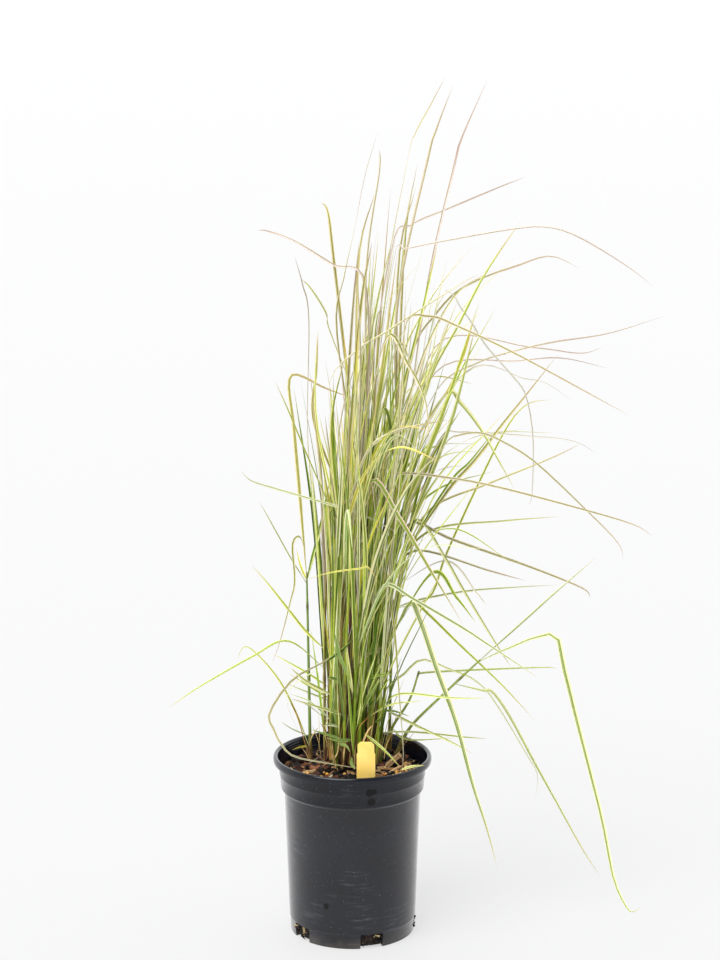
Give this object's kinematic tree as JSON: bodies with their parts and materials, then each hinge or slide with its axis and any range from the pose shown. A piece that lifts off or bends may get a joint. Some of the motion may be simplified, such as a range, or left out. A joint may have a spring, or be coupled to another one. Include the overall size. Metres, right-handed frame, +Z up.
{
  "type": "potted overdam feather reed grass",
  "caption": "Clump of variegated feather reed grass with upright stems and arching striped blades, growing in a round black nursery pot with a yellow plant tag.",
  "frame": {"origin": "centre of the pot's flat underside, on the surface that it stands on", "axes": "+Z up along the pot's axis, -Y towards the front, where the tag stands, +X to the right, which the clump leans towards"},
  "size_m": [0.5018, 0.6675, 0.887],
  "materials": {
    "black_plastic": "semi-matte moulded, with fine scuffs",
    "dark_mix": "rough bark and fibre",
    "yellow_plastic": "satin",
    "variegated_leaf": "satin leaf, striped green and cream"
  },
  "bodies": {
    "root": {"pot": "black_plastic", "potting_mix": "dark_mix", "tag": "yellow_plastic", "shoot_01": "variegated_leaf", "shoot_02": "variegated_leaf", "shoot_03": "variegated_leaf", "shoot_04": "variegated_leaf", "shoot_05": "variegated_leaf", "shoot_06": "variegated_leaf", "shoot_07": "variegated_leaf", "shoot_08": "variegated_leaf", "shoot_09": "variegated_leaf", "shoot_10": "variegated_leaf", "shoot_11": "variegated_leaf", "shoot_12": "variegated_leaf", "shoot_13": "variegated_leaf", "shoot_14": "variegated_leaf", "shoot_15": "variegated_leaf", "shoot_16": "variegated_leaf", "shoot_17": "variegated_leaf", "shoot_18": "variegated_leaf", "shoot_19": "variegated_leaf", "shoot_20": "variegated_leaf", "shoot_21": "variegated_leaf", "shoot_22": "variegated_leaf", "shoot_23": "variegated_leaf", "shoot_24": "variegated_leaf", "shoot_25": "variegated_leaf", "shoot_26": "variegated_leaf", "shoot_27": "variegated_leaf", "shoot_28": "variegated_leaf", "shoot_29": "variegated_leaf", "shoot_30": "variegated_leaf", "shoot_31": "variegated_leaf", "shoot_32": "variegated_leaf", "shoot_33": "variegated_leaf", "shoot_34": "variegated_leaf", "shoot_35": "variegated_leaf", "shoot_36": "variegated_leaf", "shoot_37": "variegated_leaf", "shoot_38": "variegated_leaf", "shoot_39": "variegated_leaf", "shoot_40": "variegated_leaf", "shoot_41": "variegated_leaf", "shoot_42": "variegated_leaf", "left_culm": "variegated_leaf", "right_culm": "variegated_leaf", "leaning_culm": "variegated_leaf", "kinked_culm": "variegated_leaf"}
  },
  "joints": []
}
